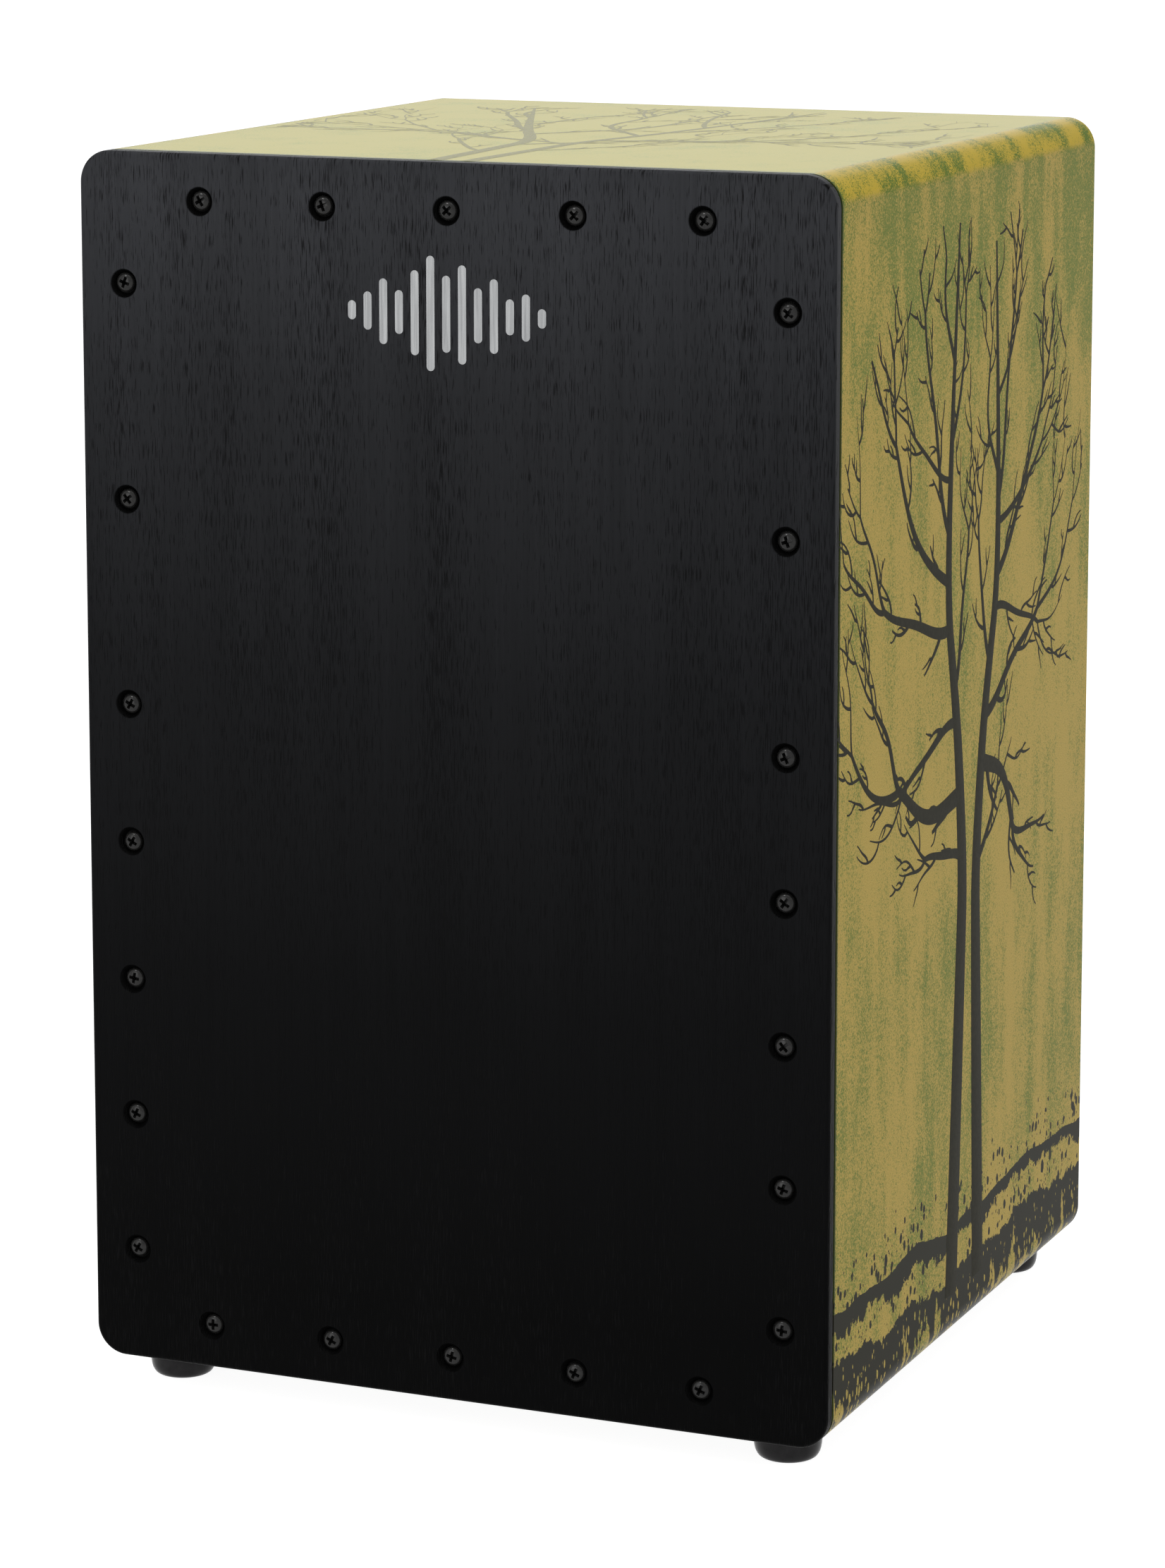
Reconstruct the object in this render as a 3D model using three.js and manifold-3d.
// Cajon: a plywood box drum that the player sits on.
// Millimetres, +Z up. The origin is on the floor, under the middle of the box.
// The front plate, which is played, looks along -Y. Left and right are as seen from its front.

import * as THREE from 'three';
import { mergeVertices } from 'three/addons/utils/BufferGeometryUtils.js';
import Module from 'manifold-3d';

const wasm = await Module();
wasm.setup();

// ---------------------------------------------------------------- driving sizes

const WIDTH = 300;
const DEPTH = 300;
const BOX_HEIGHT = 464; // the box alone, without its feet
const CORNER_RADIUS = 12; // the four long edges of the box

const PANEL_THICKNESS = 13; // top, bottom and sides
const FILM_THICKNESS = 0.4; // printed film around the shell
const FILM_SETBACK = 1.3; // bare edge of the shell in front of the film

const PLATE_THICKNESS = 5;
const PLATE_EDGE_RADIUS = 1.6;

const BACK_THICKNESS = 6;
const SOUND_HOLE_DIAMETER = 112;
const SOUND_HOLE_DROP = 196; // centre of the hole below the top of the box

const FRONT_BATTEN_WIDTH = 18;
const FRONT_BATTEN_DEPTH = 20;
const REAR_BATTEN_WIDTH = 14;
const REAR_BATTEN_DEPTH = 14;

// Plate screws: two rows and two columns, measured from the edges of the box.
const COLUMN_INSET = 18;
const TOP_ROW_INSET = 17.5;
const BOTTOM_ROW_INSET = 16.8;
const ROW_PITCH = 50;
const ROW_COUNT = 5;
const COLUMN_BOTTOM_INSET = 43.5;
const COLUMN_TOP_INSET = 49;
const LOWER_PITCH = 53; // the lower five screws of a column
const LOWER_COUNT = 5;
const SIXTH_SCREW_SHARE = 0.49; // its place between the fifth screw and the topmost one

const HEAD_DIAMETER = 7.6;
const HEAD_HEIGHT = 2.2;
const SHANK_DIAMETER = 3.6;
const SHANK_LENGTH = 18;
const COUNTERBORE_DIAMETER = 11;
const COUNTERBORE_DEPTH = 2.6;

const FOOT_DIAMETER = 24.4;
const FOOT_HEIGHT = 12;
const FOOT_RIM_RADIUS = 3;
const FOOT_SIDE_INSET = 24.5; // foot centre from the side of the box
const FOOT_END_INSET = 20; // foot centre from the front or back of the shell
const FOOT_RECESS_DIAMETER = 10.4;
const FOOT_RECESS_DEPTH = 7;

const RAIL_HEIGHT = 22;
const RAIL_DEPTH = 14;
const RAIL_DROP = 180; // top of the snare rail below the top of the box

const STRAP_MARGIN = 3; // bare wood left beside the strap on its batten
const STRAP_HEIGHT = 14;
const STRAP_THICKNESS = 1.6;

const SNARE_STRIP_WIDTH = 62;
const SNARE_STRIP_HEIGHT = 14;
const SNARE_STRIP_THICKNESS = 1.2;
const SNARE_WIRE_COUNT = 10;
const SNARE_WIRE_SIZE = 1.2;
const SNARE_WIRE_REACH = 118; // how far the wires rise above the rail
const SNARE_CENTRE = 56; // middle of each snare set from the middle of the box

const SMALL_HEAD_DIAMETER = 6;
const SMALL_HEAD_HEIGHT = 1.8;
const SMALL_SHANK_DIAMETER = 3;
const SMALL_SHANK_LENGTH = 10;

const FIT = 0.3; // clearance around a screw, a rail end and the back panel
const HOLE_SIDES = 12;
const SCREW_SIDES = 10;
const FOOT_SIDES = 20;
const SOUND_HOLE_SIDES = 48;
const CORNER_STEPS = 8;
const GRID_PER_MM = 1024;

// ---------------------------------------------------------------- places that follow

const FRONT = -DEPTH / 2;
const BACK = DEPTH / 2;
const SHELL_FRONT = FRONT + PLATE_THICKNESS;
const BOTTOM = FOOT_HEIGHT;
const TOP = BOTTOM + BOX_HEIGHT;
const SHELL_SIDE = WIDTH / 2 - FILM_THICKNESS;
const SHELL_BOTTOM = BOTTOM + FILM_THICKNESS;
const SHELL_TOP = TOP - FILM_THICKNESS;
const INSIDE = SHELL_SIDE - PANEL_THICKNESS;
const FLOOR = SHELL_BOTTOM + PANEL_THICKNESS;
const CEILING = SHELL_TOP - PANEL_THICKNESS;
const SHELL_RADIUS = Math.min(CORNER_RADIUS - FILM_THICKNESS, PANEL_THICKNESS - FIT);
const OUTER_RADIUS = SHELL_RADIUS + FILM_THICKNESS;
const BATTEN_BACK = SHELL_FRONT + FRONT_BATTEN_DEPTH;
const REAR_BATTEN_BACK = BACK - BACK_THICKNESS;
const REAR_BATTEN_FRONT = REAR_BATTEN_BACK - REAR_BATTEN_DEPTH;

const group = new THREE.Group();

// ---------------------------------------------------------------- materials

function finish(color, roughness, metalness = 0) {
  return () => new THREE.MeshStandardMaterial({ color, roughness, metalness });
}

const blackVeneer = finish(0x1c1c1e, 0.5);
const blackStain = finish(0x161617, 0.5);
const printedFilm = finish(0xb0a25c, 0.4);
const birchPly = finish(0xc9a877, 0.65);
const pineBatten = finish(0xd2b283, 0.7);
const blackRubber = finish(0x2b2b2e, 0.75);
const blackSteel = finish(0x19191b, 0.35, 0.8);
const brightSteel = finish(0xb8babd, 0.3, 1);

// ---------------------------------------------------------------- shapes

// Every face and point goes onto a fine grid, so that faces which meet share exactly one plane.
function onGrid(value) {
  return Math.round(value * GRID_PER_MM) / GRID_PER_MM;
}

function snap(geometry) {
  const { array } = geometry.attributes.position;
  array.forEach((value, i) => {
    array[i] = onGrid(value);
  });
  return geometry;
}

function add(name, geometry, material) {
  const mesh = new THREE.Mesh(snap(geometry), material());
  mesh.name = name;
  group.add(mesh);
}

function block(...faces) {
  const [x0, x1, y0, y1, z0, z1] = faces.map(onGrid);
  const box = new THREE.BoxGeometry(x1 - x0, y1 - y0, z1 - z0);
  return box.translate((x0 + x1) / 2, (y0 + y1) / 2, (z0 + z1) / 2);
}

function toSolid(geometry) {
  const bare = geometry.clone();
  bare.deleteAttribute('normal');
  bare.deleteAttribute('uv');
  const merged = mergeVertices(bare, 1e-4);
  const vertProperties = new Float32Array(merged.attributes.position.array);
  const triVerts = new Uint32Array(merged.index.array);
  return new wasm.Manifold(new wasm.Mesh({ numProp: 3, vertProperties, triVerts }));
}

function toGeometry(solid) {
  const mesh = solid.getMesh();
  const geometry = new THREE.BufferGeometry();
  geometry.setAttribute('position', new THREE.BufferAttribute(mesh.vertProperties, 3));
  geometry.setIndex(new THREE.BufferAttribute(mesh.triVerts, 1));
  const flat = geometry.toNonIndexed();
  flat.computeVertexNormals();
  return flat;
}

function cut(geometry, tools) {
  let solid = toSolid(geometry);
  for (const tool of tools) {
    solid = solid.subtract(toSolid(tool));
  }
  return toGeometry(solid);
}

function join(pieces) {
  let solid = toSolid(pieces[0]);
  for (const piece of pieces.slice(1)) {
    solid = solid.add(toSolid(piece));
  }
  return toGeometry(solid);
}

// A section drawn in X and Z, run along Y between two faces.
function prism(outline, frontFace, backFace) {
  const [y0, y1] = [frontFace, backFace].map(onGrid);
  const options = { depth: y1 - y0, bevelEnabled: false, curveSegments: CORNER_STEPS };
  return new THREE.ExtrudeGeometry(outline, options).rotateX(Math.PI / 2).translate(0, y1, 0);
}

// A rectangle in X and Z, with the radius given for its lower and its upper corners.
function section(side, bottom, top, lowerRadius, upperRadius, path = new THREE.Shape()) {
  const [halfWidth, z0, z1] = [side, bottom, top].map(onGrid);
  const turn = Math.PI / 2;
  path.moveTo(-halfWidth + lowerRadius, z0);
  path.lineTo(halfWidth - lowerRadius, z0);
  if (lowerRadius > 0) {
    path.absarc(halfWidth - lowerRadius, z0 + lowerRadius, lowerRadius, -turn, 0);
  }
  path.lineTo(halfWidth, z1 - upperRadius);
  if (upperRadius > 0) {
    path.absarc(halfWidth - upperRadius, z1 - upperRadius, upperRadius, 0, turn);
  }
  path.lineTo(-halfWidth + upperRadius, z1);
  if (upperRadius > 0) {
    path.absarc(-halfWidth + upperRadius, z1 - upperRadius, upperRadius, turn, 2 * turn);
  }
  path.lineTo(-halfWidth, z0 + lowerRadius);
  if (lowerRadius > 0) {
    path.absarc(-halfWidth + lowerRadius, z0 + lowerRadius, lowerRadius, 2 * turn, 3 * turn);
  }
  return path;
}

// A round bar along Y from y0 to y1.
function bar(diameter, x, z, y0, y1, sides = HOLE_SIDES) {
  const round = new THREE.CylinderGeometry(diameter / 2, diameter / 2, y1 - y0, sides);
  return round.translate(x, (y0 + y1) / 2, z);
}

// A pan-head screw along +Y, its bearing face at y = 0 and its head towards -Y.
function screw(headDiameter, headHeight, shankDiameter, shankLength) {
  const head = headDiameter / 2;
  const shank = shankDiameter / 2;
  const crown = 0.62 * head; // the flat top of the domed head
  const shoulder = 0.92 * head;
  const profile = [
    [0, -headHeight],
    [crown, -headHeight],
    [shoulder, -0.62 * headHeight],
    [head, 0],
    [shank, 0],
    [shank, shankLength - shankDiameter],
    [0, shankLength],
  ];
  const points = profile.map(([radius, y]) => new THREE.Vector2(radius, y));
  return new THREE.LatheGeometry(points, SCREW_SIDES);
}

// ---------------------------------------------------------------- where the plate screws go

function plateScrewPlaces() {
  const places = [];
  const middle = (ROW_COUNT - 1) / 2;
  for (let i = 0; i < ROW_COUNT; i += 1) {
    const x = (i - middle) * ROW_PITCH;
    places.push({ name: `plate_screw_top_${i + 1}`, x, z: TOP - TOP_ROW_INSET });
    places.push({ name: `plate_screw_bottom_${i + 1}`, x, z: BOTTOM + BOTTOM_ROW_INSET });
  }
  const rises = [];
  for (let i = 0; i < LOWER_COUNT; i += 1) {
    rises.push(COLUMN_BOTTOM_INSET + i * LOWER_PITCH);
  }
  const fifth = rises[LOWER_COUNT - 1];
  const topmost = BOX_HEIGHT - COLUMN_TOP_INSET;
  rises.push(fifth + SIXTH_SCREW_SHARE * (topmost - fifth), topmost);
  const column = WIDTH / 2 - COLUMN_INSET;
  rises.forEach((rise, i) => {
    places.push({ name: `plate_screw_left_${i + 1}`, x: -column, z: BOTTOM + rise });
    places.push({ name: `plate_screw_right_${i + 1}`, x: column, z: BOTTOM + rise });
  });
  return places;
}

const plateScrews = plateScrewPlaces();
const HEAD_SEAT = FRONT + COUNTERBORE_DEPTH;

// Pilot holes of the plate screws, as bars that the battens are cut by.
function pilotHoles() {
  const depth = HEAD_SEAT + SHANK_LENGTH + FIT;
  return plateScrews.map(({ x, z }) => bar(SHANK_DIAMETER + 2 * FIT, x, z, SHELL_FRONT - 1, depth));
}

// ---------------------------------------------------------------- front plate

function frontPlate() {
  const outline = section(WIDTH / 2, BOTTOM, TOP, OUTER_RADIUS, OUTER_RADIUS);
  const rounded = new THREE.ExtrudeGeometry(outline, {
    depth: PLATE_THICKNESS,
    bevelThickness: PLATE_EDGE_RADIUS,
    bevelSize: PLATE_EDGE_RADIUS,
    bevelOffset: -PLATE_EDGE_RADIUS,
    bevelSegments: 3,
    curveSegments: CORNER_STEPS,
  });
  rounded.rotateX(Math.PI / 2).translate(0, SHELL_FRONT + PLATE_EDGE_RADIUS, 0);
  const behind = block(-WIDTH, WIDTH, SHELL_FRONT, SHELL_FRONT + DEPTH, 0, TOP + WIDTH);
  const tools = [behind];
  for (const { x, z } of plateScrews) {
    tools.push(bar(COUNTERBORE_DIAMETER, x, z, FRONT - 1, HEAD_SEAT));
    tools.push(bar(SHANK_DIAMETER + 2 * FIT, x, z, HEAD_SEAT - 1, SHELL_FRONT + 1));
  }
  return cut(rounded, tools);
}

add('front_plate', frontPlate(), blackVeneer);

for (const { name, x, z } of plateScrews) {
  const geometry = screw(HEAD_DIAMETER, HEAD_HEIGHT, SHANK_DIAMETER, SHANK_LENGTH);
  add(name, geometry.translate(x, HEAD_SEAT, z), blackSteel);
}

// ---------------------------------------------------------------- shell

const footPlaces = [
  ['front_left', -1, SHELL_FRONT + FOOT_END_INSET],
  ['front_right', 1, SHELL_FRONT + FOOT_END_INSET],
  ['rear_left', -1, BACK - FOOT_END_INSET],
  ['rear_right', 1, BACK - FOOT_END_INSET],
].map(([corner, side, y]) => ({ corner, x: side * (WIDTH / 2 - FOOT_SIDE_INSET), y }));

// A foot screw's seat is above the floor by the depth of the foot's recess.
const FOOT_SCREW_TIP = FOOT_RECESS_DEPTH + SMALL_SHANK_LENGTH;

function topPanel() {
  return prism(section(SHELL_SIDE, CEILING, SHELL_TOP, 0, SHELL_RADIUS), SHELL_FRONT, BACK);
}

function bottomPanel() {
  const panel = prism(section(SHELL_SIDE, SHELL_BOTTOM, FLOOR, SHELL_RADIUS, 0), SHELL_FRONT, BACK);
  const holes = footPlaces.map(({ x, y }) => {
    const length = FOOT_SCREW_TIP + FIT;
    const hole = bar(SMALL_SHANK_DIAMETER + 2 * FIT, 0, 0, 0, length);
    return hole.rotateX(Math.PI / 2).translate(x, y, 0);
  });
  return cut(panel, holes);
}

add('top_panel', topPanel(), birchPly);
add('bottom_panel', bottomPanel(), birchPly);
add('left_panel', block(-SHELL_SIDE, -INSIDE, SHELL_FRONT, BACK, FLOOR, CEILING), birchPly);
add('right_panel', block(INSIDE, SHELL_SIDE, SHELL_FRONT, BACK, FLOOR, CEILING), birchPly);

function filmWrap() {
  const outline = section(WIDTH / 2, BOTTOM, TOP, OUTER_RADIUS, OUTER_RADIUS);
  const inner = section(SHELL_SIDE, SHELL_BOTTOM, SHELL_TOP, SHELL_RADIUS, SHELL_RADIUS, new THREE.Path());
  outline.holes.push(inner);
  const film = prism(outline, SHELL_FRONT + FILM_SETBACK, BACK);
  const holes = footPlaces.map(({ x, y }) => {
    const hole = bar(SMALL_SHANK_DIAMETER + 2 * FIT, 0, 0, 0, FLOOR);
    return hole.rotateX(Math.PI / 2).translate(x, y, 0);
  });
  return cut(film, holes);
}

add('printed_film', filmWrap(), printedFilm);

// ---------------------------------------------------------------- battens

const frontInner = INSIDE - FRONT_BATTEN_WIDTH;
const rearInner = INSIDE - REAR_BATTEN_WIDTH;

// Two upright battens between floor and ceiling, and two crosswise ones between those.
function battens(width, inner, y0, y1) {
  return {
    left: block(-INSIDE, -inner, y0, y1, FLOOR, CEILING),
    right: block(inner, INSIDE, y0, y1, FLOOR, CEILING),
    top: block(-inner, inner, y0, y1, CEILING - width, CEILING),
    bottom: block(-inner, inner, y0, y1, FLOOR, FLOOR + width),
  };
}

const strapReach = FRONT_BATTEN_WIDTH - STRAP_MARGIN;
const RAIL_TOP = TOP - RAIL_DROP;
const railMiddle = RAIL_TOP - RAIL_HEIGHT / 2;
const strapScrewPlaces = [-1, 1].flatMap((side) => {
  const label = side < 0 ? 'left' : 'right';
  return [
    { name: `strap_screw_${label}_outer`, x: side * (frontInner + strapReach / 2) },
    { name: `strap_screw_${label}_inner`, x: side * (frontInner - strapReach / 2) },
  ];
});

// Holes of the strap screws, from the back of the battens and of the rail.
function strapHoles() {
  const depth = BATTEN_BACK + STRAP_THICKNESS - SMALL_SHANK_LENGTH - FIT;
  return strapScrewPlaces.map(({ x }) => (
    bar(SMALL_SHANK_DIAMETER + 2 * FIT, x, railMiddle, depth, BATTEN_BACK + STRAP_THICKNESS + 1)
  ));
}

const frontBattens = battens(FRONT_BATTEN_WIDTH, frontInner, SHELL_FRONT, BATTEN_BACK);
for (const [side, geometry] of Object.entries(frontBattens)) {
  add(`front_batten_${side}`, cut(geometry, [...pilotHoles(), ...strapHoles()]), pineBatten);
}

const rearBattens = battens(REAR_BATTEN_WIDTH, rearInner, REAR_BATTEN_FRONT, REAR_BATTEN_BACK);
for (const [side, geometry] of Object.entries(rearBattens)) {
  add(`rear_batten_${side}`, geometry, pineBatten);
}

// ---------------------------------------------------------------- back panel

function backPanel() {
  const panel = block(-INSIDE + FIT, INSIDE - FIT, REAR_BATTEN_BACK, BACK, FLOOR + FIT, CEILING - FIT);
  const middle = TOP - SOUND_HOLE_DROP;
  return cut(panel, [bar(SOUND_HOLE_DIAMETER, 0, middle, REAR_BATTEN_BACK - 1, BACK + 1, SOUND_HOLE_SIDES)]);
}

add('back_panel', backPanel(), blackStain);

// ---------------------------------------------------------------- feet

function foot() {
  const outer = FOOT_DIAMETER / 2;
  const hole = SMALL_SHANK_DIAMETER / 2 + FIT;
  const recess = FOOT_RECESS_DIAMETER / 2;
  const points = [[recess, 0], [outer - FOOT_RIM_RADIUS, 0]];
  const rimSteps = 4;
  for (let i = 1; i <= rimSteps; i += 1) {
    const angle = (i / rimSteps) * Math.PI / 2;
    const radius = outer - FOOT_RIM_RADIUS * (1 - Math.sin(angle));
    points.push([radius, FOOT_RIM_RADIUS * (1 - Math.cos(angle))]);
  }
  points.push([outer, FOOT_HEIGHT], [hole, FOOT_HEIGHT]);
  points.push([hole, FOOT_RECESS_DEPTH], [recess, FOOT_RECESS_DEPTH], [recess, 0]);
  const profile = points.map(([radius, y]) => new THREE.Vector2(radius, y));
  return new THREE.LatheGeometry(profile, FOOT_SIDES).rotateX(Math.PI / 2);
}

for (const { corner, x, y } of footPlaces) {
  add(`foot_${corner}`, foot().translate(x, y, 0), blackRubber);
  const geometry = screw(SMALL_HEAD_DIAMETER, SMALL_HEAD_HEIGHT, SMALL_SHANK_DIAMETER, SMALL_SHANK_LENGTH);
  add(`foot_screw_${corner}`, geometry.rotateX(Math.PI / 2).translate(x, y, FOOT_RECESS_DEPTH), brightSteel);
}

// ---------------------------------------------------------------- snare rail and snares

const RAIL_FRONT = BATTEN_BACK - RAIL_DEPTH;
const STRIP_FRONT = RAIL_FRONT - SNARE_STRIP_THICKNESS;
const snareScrewOffset = SNARE_STRIP_WIDTH / 2 - SMALL_HEAD_DIAMETER;
const snareScrewPlaces = [-1, 1].flatMap((side) => {
  const label = side < 0 ? 'left' : 'right';
  return [
    { name: `snare_screw_${label}_1`, x: side * SNARE_CENTRE - snareScrewOffset },
    { name: `snare_screw_${label}_2`, x: side * SNARE_CENTRE + snareScrewOffset },
  ];
});

// Holes of the snare screws, through the strips and into the front of the rail.
function snareHoles() {
  const depth = STRIP_FRONT + SMALL_SHANK_LENGTH + FIT;
  return snareScrewPlaces.map(({ x }) => (
    bar(SMALL_SHANK_DIAMETER + 2 * FIT, x, railMiddle, STRIP_FRONT - 1, depth)
  ));
}

function snareRail() {
  const end = frontInner - FIT;
  const rail = block(-end, end, RAIL_FRONT, BATTEN_BACK, RAIL_TOP - RAIL_HEIGHT, RAIL_TOP);
  return cut(rail, [...strapHoles(), ...snareHoles()]);
}

add('snare_rail', snareRail(), pineBatten);

// A strap bridges the joint between the rail's end and the upright batten, from behind.
for (const side of [-1, 1]) {
  const label = side < 0 ? 'left' : 'right';
  const x = side * frontInner;
  const strap = block(
    x - strapReach, x + strapReach,
    BATTEN_BACK, BATTEN_BACK + STRAP_THICKNESS,
    railMiddle - STRAP_HEIGHT / 2, railMiddle + STRAP_HEIGHT / 2,
  );
  add(`rail_strap_${label}`, cut(strap, strapHoles()), brightSteel);
}

for (const { name, x } of strapScrewPlaces) {
  const geometry = screw(SMALL_HEAD_DIAMETER, SMALL_HEAD_HEIGHT, SMALL_SHANK_DIAMETER, SMALL_SHANK_LENGTH);
  add(name, geometry.rotateX(Math.PI).translate(x, BATTEN_BACK + STRAP_THICKNESS, railMiddle), brightSteel);
}

// One snare set: a screwed strip with wires that rise and lean forward onto the front plate.
function snareSet(centre) {
  const half = SNARE_STRIP_HEIGHT / 2;
  const foot = railMiddle;
  const tip = RAIL_TOP + SNARE_WIRE_REACH;
  const strip = block(
    centre - SNARE_STRIP_WIDTH / 2, centre + SNARE_STRIP_WIDTH / 2,
    STRIP_FRONT, RAIL_FRONT, railMiddle - half, railMiddle + half,
  );
  const touch = SHELL_FRONT + FIT;
  const lean = new THREE.Shape([
    new THREE.Vector2(STRIP_FRONT + SNARE_WIRE_SIZE / 2, foot),
    new THREE.Vector2(STRIP_FRONT + SNARE_WIRE_SIZE / 2, railMiddle + half),
    new THREE.Vector2(touch + SNARE_WIRE_SIZE, tip),
    new THREE.Vector2(touch, tip),
    new THREE.Vector2(STRIP_FRONT - SNARE_WIRE_SIZE / 2, railMiddle + half),
    new THREE.Vector2(STRIP_FRONT - SNARE_WIRE_SIZE / 2, foot),
  ]);
  // The section is drawn in Y and Z: a turn about Y and one about X stand it upright.
  const toYZ = new THREE.Matrix4().makeBasis(
    new THREE.Vector3(0, 1, 0), new THREE.Vector3(0, 0, 1), new THREE.Vector3(1, 0, 0),
  );
  const pitch = (SNARE_STRIP_WIDTH - 4 * SMALL_HEAD_DIAMETER) / (SNARE_WIRE_COUNT - 1);
  const pieces = [strip];
  for (let i = 0; i < SNARE_WIRE_COUNT; i += 1) {
    const x = centre + (i - (SNARE_WIRE_COUNT - 1) / 2) * pitch;
    const wire = new THREE.ExtrudeGeometry(lean, { depth: SNARE_WIRE_SIZE, bevelEnabled: false });
    pieces.push(wire.applyMatrix4(toYZ).translate(x - SNARE_WIRE_SIZE / 2, 0, 0));
  }
  return cut(join(pieces), snareHoles());
}

add('snare_wires_left', snareSet(-SNARE_CENTRE), brightSteel);
add('snare_wires_right', snareSet(SNARE_CENTRE), brightSteel);

for (const { name, x } of snareScrewPlaces) {
  const geometry = screw(SMALL_HEAD_DIAMETER, SMALL_HEAD_HEIGHT, SMALL_SHANK_DIAMETER, SMALL_SHANK_LENGTH);
  add(name, geometry.translate(x, STRIP_FRONT, railMiddle), brightSteel);
}

export default group;
